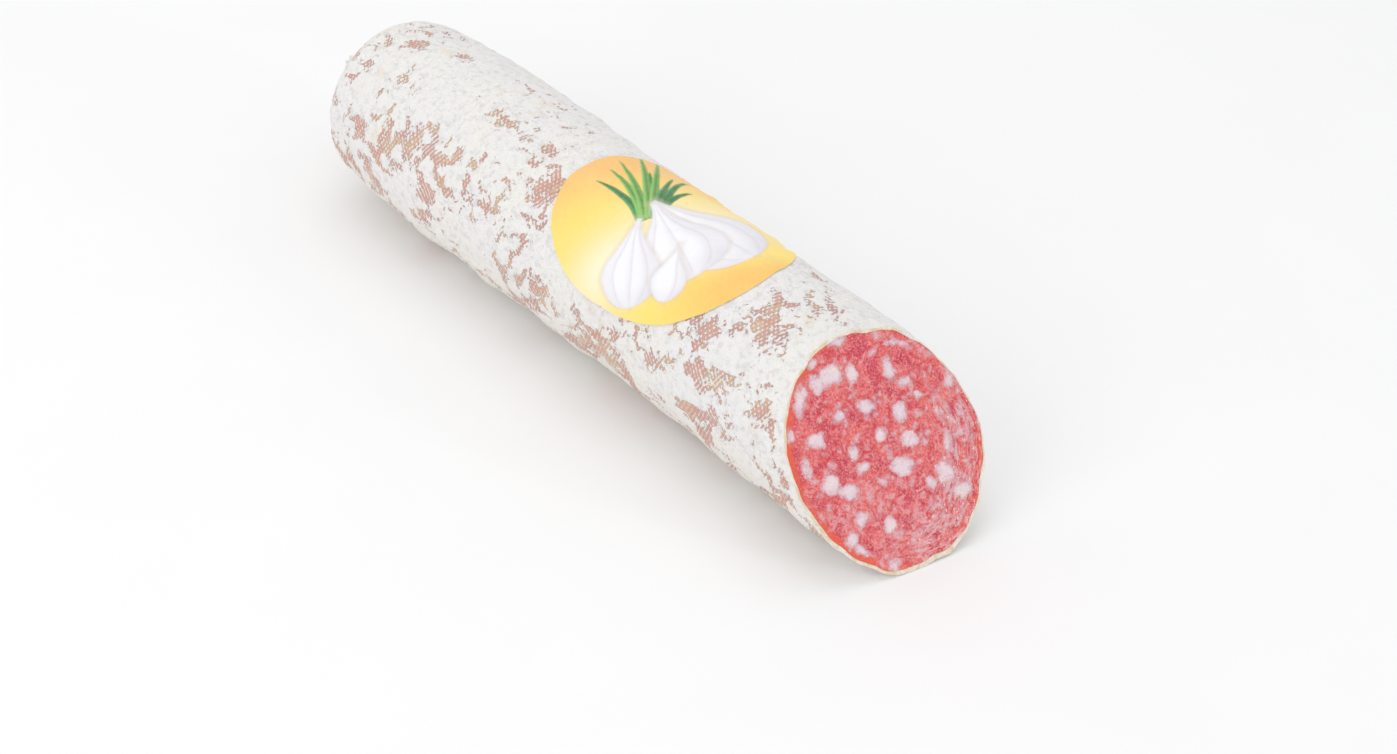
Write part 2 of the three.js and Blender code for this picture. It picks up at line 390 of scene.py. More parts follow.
def filling_material():
    made = Nodes("cured_meat")
    where = made.millimetres()
    dragged = made.add("ShaderNodeUVMap", {}, uv_map="grain")
    streaky = made.attribute("streaky")
    ragged = made.noise(where, 1.5, detail=5.0, roughness=0.62)
    streak = made.noise(dragged, 0.85, detail=4.0, roughness=0.6, distortion=0.9)
    grain = made.noise(where, 0.5, detail=5.0, roughness=0.75)
    mottle = made.noise(where, 1.7, detail=4.0, roughness=0.65, distortion=0.6)
    blotch = made.noise(where, 5.5, detail=4.0, roughness=0.6)
    drawn_out = made.add("ShaderNodeMapping", {
        "Vector": where, "Rotation": (0.7, 0.9, 0.4), "Scale": (0.35, 2.2, 2.2),
    })
    fibre = made.noise(drawn_out, 1.0, detail=3.0, roughness=0.6)
    smear = made.noise(where, 3.2, detail=5.0, roughness=0.65, distortion=1.2)

    # Fat shows where this field is above zero.
    field = made.total((made.attribute("fat"), 1.0), (ragged, 1.9), (grain, 1.2), (1.0, -1.55))
    fat = made.maths("MULTIPLY", made.step(field, -0.55, 0.45), made.attribute("whiteness"))
    fat_core = made.step(field, 0.0, 1.2)
    by_fat = made.maths("MULTIPLY", made.step(field, -0.9, -0.5), made.step(field, 0.1, -0.3))

    smeared = made.total((smear, 1.0), (made.attribute("low"), 0.07))
    near_rim = made.step(made.attribute("rim"), 2.6, 0.4)
    dried = made.maths("MULTIPLY", near_rim, made.attribute("dried"))
    meat = made.layers(
        made.mix(made.step(blotch, 0.42, 0.56), MEAT_PINK, MEAT_CRIMSON),
        (MEAT_PALE, made.step(mottle, 0.5, 0.66), 0.8),
        (MEAT_DARK, made.step(mottle, 0.47, 0.34), 0.9),
        (MEAT_SMEARED, made.step(smeared, 0.54, 0.66), 0.75),
        (GRAIN_PALE, made.step(grain, 0.5, 0.66), 0.5),
        (GRAIN_DARK, made.step(grain, 0.48, 0.34), 0.6),
        (FIBRE_PALE, made.step(fibre, 0.5, 0.64), 0.5),
        (FIBRE_DARK, made.step(fibre, 0.48, 0.36), 0.5),
        (MEAT_BY_FAT, by_fat, 0.35),
        (MEAT_DRIED, dried, made.step(blotch, 0.34, 0.54)),
        (STREAK_PALE, made.maths("MULTIPLY", made.step(streak, 0.49, 0.60), streaky), 0.75),
        (STREAK_DARK, made.maths("MULTIPLY", made.step(streak, 0.45, 0.34), streaky), 0.9),
    )
    tint = made.step(made.noise(where, 6.0, detail=1.0), 0.3, 0.7)
    lump = made.layers(
        made.mix(tint, FAT_EDGE_WARM, FAT_EDGE_COOL),
        (made.mix(tint, FAT_CORE_WARM, FAT_CORE_COOL), fat_core, 1.0),
        (FAT_WHITE, made.step(grain, 0.5, 0.66), 0.6),
        (FAT_STAINED, made.step(mottle, 0.46, 0.32), 0.6),
    )
    # Painted wet glints, partly white bits of fat, most where the meat is streaky.
    fleck_and_glint = made.step(made.noise(where, 0.8, detail=3.0, roughness=0.6), 0.63, 0.68)
    colour = made.layers(
        made.mix(fat, meat, lump),
        (FLECK_AND_GLINT_WHITE, fleck_and_glint, made.total((streaky, 0.7), (1.0, 0.18))),
    )
    wet = made.step(made.noise(where, 1.1, detail=2.0), 0.45, 0.6)
    made.bump(made.total(
        (grain, 0.10), (made.maths("MULTIPLY", streak, streaky), 0.40), (ragged, 0.28),
        (mottle, 0.25), (fibre, 0.08), (fat, 0.08),
    ))
    return made.surface(
        Base_Color=colour,
        Roughness=made.total((wet, -0.20), (grain, 0.06), (1.0, 0.27)),
        Subsurface_Weight=0.06,
        Subsurface_Radius=(1.0, 0.35, 0.25),
        Subsurface_Scale=0.0008,
        Specular_IOR_Level=0.5,
    )


PAPER_FIBRE = paint(255, 250, 238)


def label_material():
    made = Nodes("label_paper")
    where = made.millimetres()
    printed = made.attribute("print", output="Color")
    fibre = made.noise(where, 1.3, detail=5.0, roughness=0.6)
    cockle = made.noise(where, 9.0, detail=2.0)
    colour = made.layers(printed, (PAPER_FIBRE, made.step(fibre, 0.35, 0.8), 0.07))
    made.bump(made.total((fibre, 0.03), (cockle, 0.35)))
    return made.surface(
        Base_Color=colour,
        Roughness=made.total((fibre, 0.12), (1.0, 0.34)),
        Specular_IOR_Level=0.45,
    )


ALUMINIUM_DULL = paint(196, 198, 202)
ALUMINIUM_BRIGHT = paint(228, 229, 232)
CLIP_DUST = paint(238, 236, 232)


def clip_material():
    made = Nodes("clip_aluminium")
    where = made.millimetres()
    scratches = made.noise(where, 0.6, detail=6.0, roughness=0.75)
    dust = made.step(made.noise(where, 2.2, detail=4.0, roughness=0.6), 0.5, 0.72)
    colour = made.mix(scratches, ALUMINIUM_DULL, ALUMINIUM_BRIGHT)
    colour = made.layers(colour, (CLIP_DUST, dust, 0.5))
    made.bump(made.total((scratches, 0.05), (dust, 0.03)))
    return made.surface(
        Base_Color=colour,
        Metallic=made.total((dust, -0.55), (1.0, 1.0)),
        Roughness=made.total((scratches, 0.2), (dust, 0.25), (1.0, 0.22)),
    )


FLOOR_DARKER = (0.90, 0.90, 0.90, 1.0)
FLOOR_LIGHTER = (0.93, 0.93, 0.93, 1.0)


def floor_material():
    made = Nodes("pale_floor")
    shade = made.noise(made.millimetres(), 60.0, detail=3.0)
    colour = made.mix(shade, FLOOR_DARKER, FLOOR_LIGHTER)
    return made.surface(Base_Color=colour, Roughness=0.8, Specular_IOR_Level=0.2)


# ---- Mesh helpers ----------------------------------------------------

SHARP_ANGLE = math.radians(50.0)
NOISE_SHIFT = (13.7, -5.1, 7.9)  # keeps the numbered noises apart


def loft(name, rings, start, end, material):
    """A closed body through rings of equally many points, closed to a point at each end."""
    around = len(rings[0])
    points = np.vstack([[start], *rings, [end]])
    here = np.arange(around)
    after = (here + 1) % around
    last = len(points) - 1
    faces = [(0, 1 + a, 1 + b) for a, b in zip(here.tolist(), after.tolist())]
    for ring in range(len(rings) - 1):
        near = 1 + ring * around
        far = near + around
        strip = np.stack([near + here, far + here, far + after, near + after], axis=1)
        faces.extend(strip.tolist())
    final = last - around
    faces.extend((last, final + b, final + a) for a, b in zip(here.tolist(), after.tolist()))
    mesh = bpy.data.meshes.new(name)
    mesh.from_pydata(place(points).tolist(), [], faces)
    mesh.validate()
    mesh.shade_smooth()
    mesh.set_sharp_from_angle(angle=SHARP_ANGLE)
    mesh.materials.append(material)
    made = bpy.data.objects.new(name, mesh)
    bpy.context.scene.collection.objects.link(made)
    return made


def store(piece, name, values):
    """Keeps one number for each vertex, for the material to read."""
    kept = piece.data.attributes.new(name, "FLOAT", "POINT")
    kept.data.foreach_set("value", np.asarray(values, np.float32))


def store_map(piece, name, first, second, around):
    """Keeps a flat map of the surface. The second number runs on past the seam."""
    layer = piece.data.uv_layers.new(name=name)
    vertices = np.empty(len(piece.data.loops), np.int64)
    piece.data.loops.foreach_get("vertex_index", vertices)
    column = (vertices - 1) % around
    full = second[1 : around + 1].max() + (second[2] - second[1])
    wide = second[vertices].copy()
    starts = np.empty(len(piece.data.polygons), np.int64)
    counts = np.empty(len(piece.data.polygons), np.int64)
    piece.data.polygons.foreach_get("loop_start", starts)
    piece.data.polygons.foreach_get("loop_total", counts)
    face = np.repeat(np.arange(len(starts)), counts)
    touches_last = np.zeros(len(starts), bool)
    np.logical_or.at(touches_last, face, column == around - 1)
    seam = touches_last[face] & (column == 0)
    wide[seam] += full
    layer.data.foreach_set("uv", np.stack([first[vertices], wide], axis=1).ravel())


def fractal(points, size, seed, octaves):
    """Smooth noise, about -1 to 1, whose largest features are about size millimetres."""
    shift = Vector([seed * offset for offset in NOISE_SHIFT])
    return np.array([
        noise.fractal(Vector(point) / size + shift, 1.0, 2.0, octaves) for point in points
    ])


def rise(value, low, high):
    """0 below low, 1 above high and a smooth rise between them."""
    share = np.clip((value - low) / (high - low), 0.0, 1.0)
    return share * share * (3.0 - 2.0 * share)


def ellipse_field(first, second, lump):
    """How far inside an ellipse a place lies, in millimetres: 0 on its edge, below 0 outside."""
    centre_a, centre_b, length, width, turn = lump
    turn = math.radians(turn)
    a = (first - centre_a) * math.cos(turn) + (second - centre_b) * math.sin(turn)
    b = (second - centre_b) * math.cos(turn) - (first - centre_a) * math.sin(turn)
    reach = np.hypot(a / (length / 2), b / (width / 2))
    return (1.0 - reach) * min(length, width) / 2


# ---- Shape of the sausage --------------------------------------------

# Along the body, angle round it, height, and how far the swelling reaches along and round.
SWELLS = (
    (58, 60, 1.3, 34, 120),
    (142, -20, -0.8, 42, 60),
    (205, 0, 0.7, 14, 55),
    (214, 90, -0.5, 30, 60),
    (12, 90, -1.1, 16, 300),
)
# Folds of the gathered end: count round the neck, share and phase.
PLEATS = ((8, 0.35, 0.4), (11, 0.4, 2.1), (15, 0.3, 4.4), (21, 0.18, 1.3))
PLEAT_DEPTH = 1.1
PLEAT_FADE = 1.4  # how quickly the folds run out towards the shoulder
PLEAT_LEAN = 0.7  # how far a fold also runs along the sausage

# Dents of the skin: depth and size in millimetres, number of the noise and its octaves.
DENTS = ((0.65, 17.0, 1, 2), (0.36, 6.5, 2, 3))
# Wrinkles where the casing has shrunk back at the cut: depth, size, reach behind the cut.
SHRUNK_DEPTH = 0.75
SHRUNK_SIZE = 7.0
SHRUNK_REACH = 9.0
SHRUNK_STRETCH = (0.3, 1.0, 1.0)

# Waves of the casing's thickness: count round the body, height and phase.
WALL_WAVES = ((3, 0.14, 1.0), (8, 0.10, 2.5), (19, 0.07, 0.6), (31, 0.05, 2.0))
# Where the casing is thicker: angle round the body, height and spread.
WALL_THICKER = ((BOTTOM, 0.75, 0.08), (0.45 * BOTTOM, 0.35, 0.03))
THINNEST_WALL = 0.15

RIM_ROUNDS = 4  # rounds after which a ring lies in the plane of the cut
HIDDEN_CROWDING = 1.8  # how hidden rings crowd towards the cut
DEEPER_REACH = 8.0  # length over which hidden surfaces run deeper


def swell(x, theta):
    height = np.zeros(np.broadcast(x, theta).shape)
    for centre, angle, amount, length, spread in SWELLS:
        turn = (np.degrees(theta) - angle + 180.0) % 360.0 - 180.0
        height += amount * np.exp(-(((x - centre) / length) ** 2) - (turn / spread) ** 2)
    return height


def pleats(theta):
    """The folds of the gathered end, about -1 to 1 round the neck."""
    return sum(share * np.cos(count * theta + phase) for count, share, phase in PLEATS)


def turns(around):
    return BOTTOM + np.arange(around) * 2 * math.pi / around


def unevenness(x, theta):
    """Soft dents and wrinkles of the skin, in millimetres."""
    points = np.stack([x, RADIUS * np.cos(theta), RADIUS * np.sin(theta)], axis=-1)
    shape = points.shape[:-1]
    flat = points.reshape(-1, 3)
    dents = sum(depth * fractal(flat, *pattern) for depth, *pattern in DENTS)
    shrunk = np.clip(1.0 - (cut_x(flat) - flat[:, 0]) / SHRUNK_REACH, 0.0, 1.0)
    dents += SHRUNK_DEPTH * shrunk * fractal(flat * np.array(SHRUNK_STRETCH), SHRUNK_SIZE, 11, 2)
    return dents.reshape(shape)


def wall(theta):
    """The thickness of casing and bloom round the body, in millimetres."""
    thickness = WALL + 0.0 * theta
    for count, height, phase in WALL_WAVES:
        thickness += height * np.cos(count * theta + phase)
    for angle, height, spread in WALL_THICKER:
        thickness += height * np.exp((np.cos(theta - angle) - 1.0) / spread)
    return np.maximum(thickness, THINNEST_WALL)


def on_skin(x, distance, theta, inset=0.0):
    """Points at a distance from the axis, pressed flat where the sausage lies on the floor."""
    x, distance, theta = np.broadcast_arrays(x, distance, theta)
    y = -distance * np.cos(theta)
    above = distance * np.sin(theta) - inset + AXIS_HEIGHT
    soft = SOFT_CONTACT * np.logaddexp(0.0, above / SOFT_CONTACT)
    return np.stack([x, y, soft + inset - AXIS_HEIGHT], axis=-1)


def cut_x(points):
    """Where along the sausage the cut passes a point's y and z."""
    slope = points[..., 1] * CUT_NORMAL[1] + points[..., 2] * CUT_NORMAL[2]
    return BODY_LENGTH - slope / CUT_NORMAL[0]


def body_rings(around, count, inset, deeper=0.0):
    """Rings from the shoulder of the dome to the cut. Hidden ones run deeper away from the cut."""
    theta = turns(around)
    full = RADIUS - inset
    end = np.full(around, BODY_LENGTH)
    for _ in range(RIM_ROUNDS):
        rim = full + swell(end, theta)
        end = cut_x(on_skin(end, rim, theta, inset))
    share = np.linspace(0.0, 1.0, count)[1:, None]
    if deeper:
        share = 1.0 - (1.0 - share) ** HIDDEN_CROWDING
    x = DOME_DEPTH + share * (end - DOME_DEPTH)
    distance = full + swell(x, theta) + unevenness(x, theta[None] + 0 * x)
    distance -= deeper * rise(end - x, 0.0, DEEPER_REACH)
    rings = on_skin(x, distance, theta[None], inset)
    rings[-1, :, 0] = cut_x(rings[-1])
    return rings


def dome_rings(around, count, inset, first_radius, folded):
    """Rings of the closed end, from near the pole to the shoulder."""
    theta = turns(around)
    full = RADIUS - inset
    depth = DOME_DEPTH - inset
    start = math.asin(first_radius / RADIUS)
    rings = []
    for turn in np.linspace(start, math.pi / 2, count):
        round_radius = full * math.sin(turn)
        x = DOME_DEPTH - depth * math.cos(turn) + 0 * theta
        share = round_radius / RADIUS
        grown = round_radius + share * (swell(x, theta) + unevenness(x, theta))
        fold = folded * PLEAT_DEPTH * (1.0 - share) ** PLEAT_FADE * pleats(theta)
        rings.append(on_skin(x - PLEAT_LEAN * fold, grown + fold * share, theta, inset))
    return rings


TAIL_TWIST = 0.03  # turn of the folds for each millimetre along the tail
TAIL_RAGGED = 0.4


def tail_rings(around):
    """The frilled end of the casing behind the clip, then the neck under the clip."""
    theta = turns(around)
    neck_end = -NECK_LENGTH
    tail_end = neck_end - TAIL_LENGTH
    outline = (
        # place along the sausage, radius, height of the folds
        (neck_end - 1.0, 0.6, 0.1),
        (neck_end - 2.2, 2.0, 0.5),
        (tail_end + 1.8, 3.4, 0.9),
        (tail_end + 0.4, 4.5, 1.1),
        (tail_end + 0.2, 4.8, 1.2),
        (tail_end + 0.6, 5.0, 1.2),
        (tail_end + 1.8, 4.7, 1.1),
        (tail_end + 3.4, 4.2, 0.8),
        (neck_end - 0.7, 3.8, 0.45),
        (neck_end + 0.4, 3.45, 0.28),
        (neck_end + 1.6, 3.4, 0.25),
        (neck_end + 2.8, 3.5, 0.3),
        (neck_end + 4.2, 3.9, 0.45),
        (neck_end + 5.4, 4.6, 0.7),
    )
    rings = []
    for x, radius, fold in outline:
        wave = pleats(theta + TAIL_TWIST * (x - neck_end))
        ragged = TAIL_RAGGED * np.cos(3 * theta + 1.0) * fold
        rings.append(on_skin(x + ragged, radius + fold * wave, theta))
    return rings


# ---- Casing ----------------------------------------------------------

CASING_AROUND = 168
CASING_RINGS = 232
INNER_RINGS = 60
DOME_RINGS = 22
NECK_FLARE = 1.6  # radius of the dome's first ring in neck radii
CLOSED_RADIUS = 0.6  # radius of the first ring of a hidden, closed end
WORN_DEPTH = 0.16  # how far the bare casing lies below the bloom
PRESSED_DEPTH = 0.25  # how far the label presses the bloom down

# Bare patches in the bloom: along the body, along the skin from the -Y side over the top,
# length, width and turn in degrees.
WORN_PATCHES = (
    (74, 33, 17, 6, 0), (41, 41, 8, 6, 20), (182, 29, 18, 9, -38), (167, 20, 12, 6, 20),
    (178, 11.5, 16, 4, 5), (195, 11, 7, 9, 60), (181, 1, 8, 11, 70), (51, 13, 9, 11, 40),
    (99, 21, 11, 8, 35), (83, 11, 13, 6, 10), (111, -1, 12, 7, -20), (156, 4, 12, 7, 15),
    (27, 7, 9, 9, 0), (141, 6, 8, 4, 10), (65, 14, 4, 9, -10), (17, 24, 9, 4, 0),
    (34, 25, 9, 4, 15), (190, 44, 9, 4, -30), (130, -8, 14, 8, 10), (60, -4, 12, 7, 30),
)
# The worn net and its strength: size in millimetres, number of the noise and its octaves.
WORN_NET = (7.6, 3, 2)
WORN_STRENGTH = (17.0, 10, 2)
WORN_LEVEL = 0.07
NET_SHARPNESS = 2.0
STRENGTH_SHARE = 0.70
# What bends the outlines of the patches, along the sausage and round it, and how far.
PATCH_WARPS = ((7.0, 4, 2), (7.0, 5, 2))
PATCH_WARP = 3.0
BEST_KEPT = math.radians(110.0)  # the side whose bloom is worn least
BEST_KEPT_REACH = 1.2  # radians round the sausage
BEST_KEPT_SHARE = 0.30
RUBBED_SHARE = 0.14  # how much more the side lying low is worn
FAR_KEPT_SHARE = 0.07  # how much less the half away from the cut is worn
PATCH_SOFTNESS = 0.12
FRESH_EDGE = 3.0  # width of the unworn strip along the cut
FRESH_SHARE = 0.8
BOUNCE_LIGHT_FROM = 2.0  # how far below its axis the painted warm bounce light on the underside begins
BOUNCE_LIGHT_REACH = 18.0
TAIL_MIDDLE = -NECK_LENGTH - 0.6


def wear_field(points):
    """How worn the bloom is: above 0 bare, below 0 covered."""
    theta = np.arctan2(points[:, 2], -points[:, 1])
    along = points[:, 0]
    skin = theta * RADIUS
    net = fractal(points, *WORN_NET)
    strength = fractal(points, *WORN_STRENGTH)
    warp_along, warp_round = (PATCH_WARP * fractal(points, *warp) for warp in PATCH_WARPS)
    from_best = np.abs(theta - BEST_KEPT)
    kept = BEST_KEPT_SHARE * np.clip(BEST_KEPT_REACH - from_best, 0.0, 1.0)
    kept -= RUBBED_SHARE * rise(theta, 0.2, -0.6)
    kept += FAR_KEPT_SHARE * rise(along, 110.0, 60.0)
    field = WORN_LEVEL - NET_SHARPNESS * np.abs(net) + STRENGTH_SHARE * strength - kept
    for patch in WORN_PATCHES:
        inside = ellipse_field(along + warp_along, skin + warp_round, patch)
        bare = np.clip(PATCH_SOFTNESS * inside - 0.20, -1.0, 0.12)
        field = np.maximum(field, bare)
    to_cut = (cut_x(points) - along) * CUT_NORMAL[0]
    field -= np.clip(1.0 - to_cut / FRESH_EDGE, 0.0, 1.0) * FRESH_SHARE
    return np.clip(field, -1.2, 0.8)


def under_label(points):
    """1 under the label and 0 away from it: the label presses the bloom flat."""
    theta = np.arctan2(points[:, 2], -points[:, 1])
    along = points[:, 0] - (BODY_LENGTH - LABEL_BEHIND_CUT)
    skin = (theta - LABEL_ANGLE) * RADIUS
    a = along * math.cos(LABEL_TURN) + skin * math.sin(LABEL_TURN)
    b = skin * math.cos(LABEL_TURN) - along * math.sin(LABEL_TURN)
    reach = np.abs(2 * a / LABEL_LENGTH) ** LABEL_FULLNESS
    reach += np.abs(2 * b / LABEL_WIDTH) ** LABEL_FULLNESS
    return rise(reach, 0.97, 0.88)


def make_casing():
    outer = [
        *tail_rings(CASING_AROUND),
        *dome_rings(CASING_AROUND, DOME_RINGS, 0.0, NECK_FLARE * NECK_RADIUS, 1.0),
        *body_rings(CASING_AROUND, CASING_RINGS, 0.0),
    ]
    inner = [
        *dome_rings(CASING_AROUND, DOME_RINGS // 2, WALL + INNER_DEEPER, CLOSED_RADIUS, 0.0),
        *body_rings(CASING_AROUND, INNER_RINGS, wall(turns(CASING_AROUND)), INNER_DEEPER),
    ]
    points = np.vstack(outer)
    wear = wear_field(points)
    theta = np.arctan2(points[:, 2], -points[:, 1])
    outward = np.stack([0 * theta, -np.cos(theta), np.sin(theta)], axis=1)
    bare = np.clip(wear * 2.0 + 0.5, 0.0, 1.0)
    sunk = WORN_DEPTH * bare + PRESSED_DEPTH * under_label(points)
    lifted = points - outward * sunk[:, None]
    lifted[:, 2] = np.maximum(lifted[:, 2], -AXIS_HEIGHT)
    settled = list(lifted.reshape(len(outer), CASING_AROUND, 3))
    settled[-1][:, 0] = cut_x(settled[-1])
    start = np.array([TAIL_MIDDLE, 0.0, 0.0])
    end = np.array([WALL + INNER_DEEPER, 0.0, 0.0])
    casing = loft("sausage_casing", [*settled, *reversed(inner)], start, end, casing_material())
    spare = len(inner) * CASING_AROUND + 1
    store(casing, "wear", np.concatenate([[0.0], wear, np.full(spare, -1.0)]))
    # The underside's share of painted warm bounce light, rising below the axis.
    low = np.clip((-points[:, 2] - BOUNCE_LIGHT_FROM) / BOUNCE_LIGHT_REACH, 0.0, 1.0)
    store(casing, "underside", np.concatenate([[0.0], low, np.zeros(spare)]))
    edge = np.zeros(len(points))
    edge[-CASING_AROUND:] = 1.0
    store(casing, "cut_edge", np.concatenate([[0.0], edge, np.ones(spare)]))
    every = np.vstack([[start], points, *reversed(inner), [end]])
    column = (np.arange(len(every)) - 1) % CASING_AROUND
    arc = column * 2 * math.pi * RADIUS / CASING_AROUND
    store_map(casing, "wrap", every[:, 0], arc, CASING_AROUND)
    return casing


# ---- Filling ---------------------------------------------------------

FILLING_AROUND = 320
FILLING_RINGS = 44
FILLING_DOME_RINGS = 10
FACE_RINGS = 110
FACE_CROWDING = 0.9  # how the face's rings crowd towards its rim
FACE_STRETCH = 1.17  # height of the slanting cut face to its width
DRAG_LENGTH = 0.22  # how drawn out the dragged meat is along the rim
RIM_ROUNDING = 1.2  # how far from its rim the face begins to fall away
# The face's relief: how proud the fat is, then height, size, number and octaves of two noises.
FAT_RELIEF = 0.22
FINE_RELIEF = (0.16, 2.2, 8, 3)
BROAD_RELIEF = (0.35, 11.0, 9, 2)
FACE_SUNK = 0.25
# Degrees round the face from its right, towards the top.
STREAKS_AT = -35.0
STREAKS_SPREAD = 80.0
DRIED_LEFT = 190.0
DRIED_CORNER = 325.0

# The large lumps of fat in the cut face: right, up, length, width and turn in degrees.
FAT_LUMPS = (
    (-10, 21.3, 7.2, 5.6, 10), (-14.6, 20.8, 3.8, 4.6, 0), (-4.4, 20, 3.4, 4.6, 0),
    (-19.8, 18.2, 8, 3.4, 68), (5.7, 18.4, 3.4, 6, 0), (9.2, 14.2, 4, 2.4, -10),
    (-3, 11.8, 5.4, 3.8, -20), (5.9, 7.8, 4, 4, 0), (-10.6, 11.5, 2.4, 2.8, 0),
    (-18, 7.8, 4.6, 3.8, 0), (-0.6, 4, 3.4, 3.4, 0), (-9.2, 2, 3, 3.8, 0),
    (7, 0.5, 6, 3.6, -25), (-7.7, -2, 3.8, 3, 0), (3.1, -4.8, 7.2, 4.4, -18),
    (-17, -3.6, 4.6, 5.6, 40), (-12.8, -6.6, 6, 4, -15), (14, -10.2, 4.4, 6, 10),
    (10, -11.4, 3.2, 3.4, 0), (-11.2, -13.6, 3.8, 3, -20), (18, -15.8, 5.4, 4.4, 25),
    (-4, -17.4, 3.8, 4.6, 0), (-15, -18, 4, 3.8, 0), (-13.4, -21, 3.6, 2.4, -40),
    (-5.8, -27.2, 3.6, 2.2, 0), (8.4, 24, 5, 1.6, -18), (-24.6, 11, 2.6, 3.6, 0),
    (-14.2, 25.4, 3, 2.2, 20), (-6.2, 28.6, 5, 2.2, 5), (-22.4, 2.2, 5.4, 2.2, 80),
    (12, 10, 2.4, 2.2, 0), (21.2, 11, 2.6, 3.2, 0), (17, -3.4, 5.6, 1.8, 80),
)
SMALL_LUMPS = 110
RIM_LUMPS = 45
LUMP_WARP = 0.9  # how far the outlines of the lumps are bent
LUMP_WARP_SIZE = 3.2
NO_FAT = -1.0


def on_face(reach, turn):
    """The right and up of a place on the cut face, from its distance and direction."""
    angle = math.radians(turn)
    return reach * math.cos(angle), FACE_STRETCH * reach * math.sin(angle)


def scattered_lumps():
    """Small lumps all over the face, and long thin ones that follow the rim."""
    lumps = []
    for _ in range(SMALL_LUMPS):
        reach = 24.0 * math.sqrt(random.random())
        turn = random.uniform(0.0, 360.0)
        size = random.uniform(0.7, 1.9)
        lumps.append((
            *on_face(reach, turn),
            size * random.uniform(1.0, 1.8), size, random.uniform(0.0, 180.0),
        ))
    for _ in range(RIM_LUMPS):
        turn = random.gauss(-30.0, 55.0)
        reach = random.uniform(17.0, 24.5)
        width = random.uniform(0.7, 1.5)
        lumps.append((
            *on_face(reach, turn),
            width * random.uniform(2.0, 4.5), width, turn + 90.0 + random.gauss(0.0, 12.0),
        ))
    return lumps


def fat_field(right, up, points):
    """How far inside a lump of fat a place lies, in millimetres, and how white that lump is."""
    right = right + LUMP_WARP * fractal(points, LUMP_WARP_SIZE, 6, 2)
    up = up + LUMP_WARP * fractal(points, LUMP_WARP_SIZE, 7, 2)
    field = np.full(len(points), -2.0)
    white = np.ones(len(points))
    lumps = [(lump, 1.0) for lump in FAT_LUMPS]
    lumps += [(lump, random.uniform(0.3, 0.8)) for lump in scattered_lumps()]
    for lump, whiteness in lumps:
        inside = ellipse_field(right, up, lump)
        white = np.where(inside > field, whiteness, white)
        field = np.maximum(field, inside)
    return np.clip(field, -1.2, 1.6), white


def streak_share(right, up):
    """Where the meat was dragged along the skin by filling: the right side and below."""
    reach = np.hypot(right / RADIUS, up / (RADIUS * FACE_STRETCH))
    angle = np.degrees(np.arctan2(up, right))
    side = rise(STREAKS_SPREAD - np.abs(angle - STREAKS_AT), 0.0, 45.0)
    return side * rise(reach, 0.5, 0.72)


def dried_share(right, up):
    """Where the rim of the cut has dried orange: the left side and the top."""
    angle = np.degrees(np.arctan2(up, right)) % 360.0
    left = rise(np.abs(angle - DRIED_LEFT), 95.0, 50.0)
    corner = rise(np.abs(angle - DRIED_CORNER), 40.0, 15.0)
    return np.clip(left + 0.7 * corner + 0.15, 0.0, 1.0)


def make_filling():
    inset = wall(turns(FILLING_AROUND)) + FILLING_GAP
    rim = body_rings(FILLING_AROUND, FILLING_RINGS, inset, FILLING_DEEPER)
    centre = np.array([BODY_LENGTH, 0.0, 0.0])
    shares = np.linspace(1.0, 0.0, FACE_RINGS + 1)[1:-1] ** FACE_CROWDING
    face = [centre + share * (rim[-1] - centre) for share in shares]
    flat = np.vstack([rim[-1], *face, [centre]])
    right = (flat - centre) @ FACE_RIGHT
    up = (flat - centre) @ FACE_UP
    fat, white = fat_field(right, up, flat)
    from_rim = np.repeat([0.0, *(1.0 - shares), 1.0], [FILLING_AROUND] * (len(shares) + 1) + [1])
    from_rim = from_rim * RADIUS
    fade = np.clip(from_rim / RIM_ROUNDING, 0.0, 1.0)
    relief = FAT_RELIEF * np.clip(fat + 0.3, 0.0, 0.8) * white
    for height, *pattern in (FINE_RELIEF, BROAD_RELIEF):
        relief = relief + height * fractal(flat, *pattern)
    relief = relief - FACE_SUNK * fade
    carved = flat + (relief * fade)[:, None] * CUT_NORMAL
    face_rings = list(carved[FILLING_AROUND:-1].reshape(len(face), FILLING_AROUND, 3))
    hidden_inset = WALL + FILLING_DEEPER
    closed_end = dome_rings(FILLING_AROUND, FILLING_DOME_RINGS, hidden_inset, CLOSED_RADIUS, 0.0)
    rings = [*closed_end, *rim, *face_rings]
    start = np.array([hidden_inset, 0.0, 0.0])
    filling = loft("sausage_filling", rings, start, carved[-1], filling_material())
    hidden = 1 + (len(closed_end) + len(rim) - 1) * FILLING_AROUND
    kept = {
        "fat": fat, "whiteness": white, "streaky": streak_share(right, up),
        "dried": dried_share(right, up), "low": rise(-up, -6.0, 16.0), "rim": from_rim,
    }
    for name, values in kept.items():
        elsewhere = NO_FAT if name == "fat" else 0.0
        store(filling, name, np.concatenate([np.full(hidden, elsewhere), values]))
    column = (np.arange(hidden + len(fat)) - 1) % FILLING_AROUND
    arc = column * 2 * math.pi * RADIUS / FILLING_AROUND
    along = np.concatenate([np.zeros(hidden), from_rim])
    store_map(filling, "grain", along, arc * DRAG_LENGTH, FILLING_AROUND)
    return filling


# ---- Label -----------------------------------------------------------

LABEL_AROUND = 420
LABEL_RINGS = 96
LABEL_UNDER_RINGS = 48
LABEL_CLEARANCE = 0.14
LABEL_LIFT = 0.35  # how far parts of the label's rim stand up
LIFT_PHASE = 0.9

# The print, in millimetres across it and up from its own middle, and turned on the label.
PRINT_TURN = math.radians(42.0)
PRINT_MIDDLE = (0.9, 2.4)
